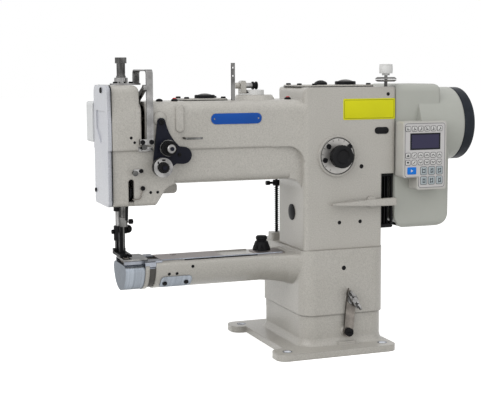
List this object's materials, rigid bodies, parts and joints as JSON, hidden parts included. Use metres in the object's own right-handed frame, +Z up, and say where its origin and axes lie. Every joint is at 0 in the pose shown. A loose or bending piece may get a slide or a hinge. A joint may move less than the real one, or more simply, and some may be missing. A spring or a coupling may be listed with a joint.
{
  "type": "leather sewing machine",
  "caption": "Cylinder-bed leather sewing machine: hollow arm and column on a bolted tilting base, compound feed, rotary hook, end-mounted drive motor, panel and handwheel.",
  "frame": {"origin": "centre of the four base bolt holes, on the underside of the foot plate", "axes": "+X along the arm towards the handwheel, +Y to the back, +Z up"},
  "size_m": [0.5945, 0.242, 0.4519],
  "materials": {
    "cast_paint": "warm light grey enamel on cast iron, fine orange peel",
    "face_paint": "smooth cool light grey enamel",
    "motor_shell": "moulded ivory plastic",
    "rear_shell": "moulded off-white plastic",
    "panel_shell": "moulded ivory plastic",
    "display_glass": "dark tinted window",
    "black_oxide": "black oxide on steel",
    "black_plastic": "black moulded plastic",
    "wheel_black": "slate-black enamel on aluminium",
    "bright_steel": "nickel plate, polished",
    "ground_steel": "ground steel",
    "slide_steel": "brown-grey brushed steel",
    "cap_alloy": "brushed aluminium",
    "bush_bronze": "sintered bronze",
    "tension_navy": "navy-black enamel",
    "white_knob": "white moulded plastic",
    "belt_rubber": "toothed rubber belt"
  },
  "bodies": {
    "base": {"base": "cast_paint", "pivot_pins": "black_oxide"},
    "latch": {"latch": "ground_steel"},
    "head": {"bed_casting": "cast_paint", "arm_casting": "cast_paint", "face_plate": "face_paint", "rear_cover": "rear_shell", "arm_top_cover": "cast_paint", "column_top_cover": "cast_paint", "motor_bracket": "black_plastic", "motor_housing": "motor_shell", "control_panel": "panel_shell", "panel_display": "display_glass", "dial_plate": "bright_steel", "hook_carrier": "ground_steel", "needle_plate": "bright_steel", "bed_side_cover": "cap_alloy", "oil_caps": "bright_steel", "oil_plugs": "black_plastic", "column_plug": "black_plastic", "shaft_bushes": "bush_bronze", "lower_bushes": "bush_bronze", "timing_belt": "belt_rubber", "bobbin_case": "bright_steel", "leaf_spring": "ground_steel", "take_up_guard": "bright_steel", "tension_plate": "tension_navy", "thread_guides": "bright_steel", "winder_bracket": "white_knob", "lift_spring": "black_oxide"},
    "wing_screw": {"wing_screw": "bright_steel"},
    "main_drive": {"main_shaft": "ground_steel", "upper_sprocket": "ground_steel", "needle_crank": "ground_steel", "handwheel": "wheel_black"},
    "lower_drive": {"lower_shaft": "ground_steel", "lower_sprocket": "ground_steel", "hook": "bright_steel"},
    "bobbin": {"bobbin": "bright_steel"},
    "feed_rock": {"feed_rock_shaft": "ground_steel"},
    "feed_bar": {"feed_bar": "ground_steel"},
    "rock_frame": {"rock_frame": "ground_steel"},
    "needle_bar": {"needle_bar": "bright_steel", "needle_link": "ground_steel", "needle": "bright_steel"},
    "inner_foot": {"inner_foot": "black_oxide"},
    "presser": {"presser_bar": "bright_steel", "outer_foot": "black_oxide"},
    "hand_lifter": {"hand_lifter": "cast_paint"},
    "lift_rod": {"lift_rod": "black_oxide"},
    "pressure_screw": {"pressure_screw": "bright_steel"},
    "take_up": {"take_up_lever": "bright_steel"},
    "upper_tension_nut": {"upper_tension_nut": "black_oxide"},
    "lower_tension_nut": {"lower_tension_nut": "black_oxide"},
    "pretension_knob": {"pretension_knob": "white_knob"},
    "bobbin_winder": {"bobbin_winder": "black_oxide"},
    "stitch_dial": {"stitch_dial": "black_plastic"},
    "reverse_lever": {"reverse_lever": "cast_paint"},
    "slide_plate": {"slide_plate": "slide_steel"},
    "end_cap": {"end_cap": "cap_alloy"}
  },
  "joints": [
    {"name": "latch_swing", "type": "hinge", "parent": "base", "child": "latch", "pos_m": [0.025, -0.091, 0.03], "axis": [0, 1, 0], "range_deg": [-85, 0]},
    {"name": "head_tilt", "type": "hinge", "parent": "base", "child": "head", "pos_m": [0.0215, 0.1, 0.082], "axis": [-1, 0, 0], "range_deg": [0, 45]},
    {"name": "wing_turn", "type": "hinge", "parent": "head", "child": "wing_screw", "pos_m": [0.03044, -0.095, 0.08171], "axis": [0, 1, 0], "continuous": true},
    {"name": "main_spin", "type": "hinge", "parent": "head", "child": "main_drive", "pos_m": [0, -0.031, 0.3454], "axis": [1, 0, 0], "continuous": true},
    {"name": "lower_spin", "type": "hinge", "parent": "head", "child": "lower_drive", "pos_m": [0, -0.031, 0.13], "axis": [1, 0, 0], "continuous": true},
    {"name": "bobbin_spin", "type": "hinge", "parent": "head", "child": "bobbin", "pos_m": [-0.3, -0.031, 0.13], "axis": [1, 0, 0], "continuous": true},
    {"name": "feed_rock_turn", "type": "hinge", "parent": "head", "child": "feed_rock", "pos_m": [-0.15, -0.018, 0.126], "axis": [1, 0, 0], "range_deg": [-16.8, 16.8]},
    {"name": "feed_slide", "type": "slide", "parent": "head", "child": "feed_bar", "axis": [0, 1, 0], "range_m": [-0.0045, 0.0045]},
    {"name": "needle_rock", "type": "hinge", "parent": "head", "child": "rock_frame", "pos_m": [-0.313, -0.031, 0.3674], "axis": [1, 0, 0], "range_deg": [-1.3, 1.3]},
    {"name": "needle_slide", "type": "slide", "parent": "rock_frame", "child": "needle_bar", "axis": [0, 0, 1], "range_m": [-0.034, 0]},
    {"name": "inner_foot_lift", "type": "slide", "parent": "rock_frame", "child": "inner_foot", "axis": [0, 0, 1], "range_m": [0, 0.008]},
    {"name": "presser_lift", "type": "slide", "parent": "head", "child": "presser", "axis": [0, 0, 1], "range_m": [0, 0.014], "deforming": ["leaf_spring"]},
    {"name": "hand_lift", "type": "hinge", "parent": "head", "child": "hand_lifter", "pos_m": [-0.286, 0.014, 0.2624], "axis": [0, -1, 0], "range_deg": [0, 50]},
    {"name": "lift_rod_slide", "type": "slide", "parent": "head", "child": "lift_rod", "axis": [0, 0, 1], "range_m": [-0.014, 0], "deforming": ["lift_spring"]},
    {"name": "pressure_turn", "type": "hinge", "parent": "head", "child": "pressure_screw", "pos_m": [-0.313, -0.031, 0.43], "axis": [0, 0, 1], "continuous": true},
    {"name": "take_up_swing", "type": "hinge", "parent": "head", "child": "take_up", "pos_m": [-0.2925, -0.004, 0.3734], "axis": [1, 0, 0], "range_deg": [0, 37]},
    {"name": "upper_tension_turn", "type": "hinge", "parent": "head", "child": "upper_tension_nut", "pos_m": [-0.26, -0.1, 0.3224], "axis": [0, 1, 0], "continuous": true},
    {"name": "lower_tension_turn", "type": "hinge", "parent": "head", "child": "lower_tension_nut", "pos_m": [-0.27, -0.1, 0.2954], "axis": [0, 1, 0], "continuous": true},
    {"name": "pretension_turn", "type": "hinge", "parent": "head", "child": "pretension_knob", "pos_m": [0.095, -0.075, 0.433], "axis": [0, 0, 1], "continuous": true},
    {"name": "winder_spin", "type": "hinge", "parent": "head", "child": "bobbin_winder", "pos_m": [-0.105, -0.031, 0.4094], "axis": [1, 0, 0], "continuous": true},
    {"name": "stitch_dial_turn", "type": "hinge", "parent": "head", "child": "stitch_dial", "pos_m": [0.008, -0.09, 0.3024], "axis": [0, 1, 0], "range_deg": [-270, 0]},
    {"name": "reverse_press", "type": "hinge", "parent": "head", "child": "reverse_lever", "pos_m": [0.066, -0.09, 0.2294], "axis": [0, 1, 0], "range_deg": [-14, 0], "stiffness_Nm_per_rad": 0.6, "springref_deg": 6.88},
    {"name": "slide_plate_open", "type": "slide", "parent": "head", "child": "slide_plate", "axis": [1, 0, 0], "range_m": [0, 0.055]},
    {"name": "end_cap_pull", "type": "slide", "parent": "head", "child": "end_cap", "axis": [-1, 0, 0], "range_m": [0, 0.034]}
  ],
  "couplings": [
    {"joint": "lower_spin", "follows": "main_spin", "ratio": 2},
    {"joint": "feed_rock_turn", "follows": "feed_slide", "rad_per_m": -64.5},
    {"joint": "hand_lift", "follows": "presser_lift", "rad_per_m": 62.3},
    {"joint": "lift_rod_slide", "follows": "presser_lift", "ratio": -1}
  ]
}
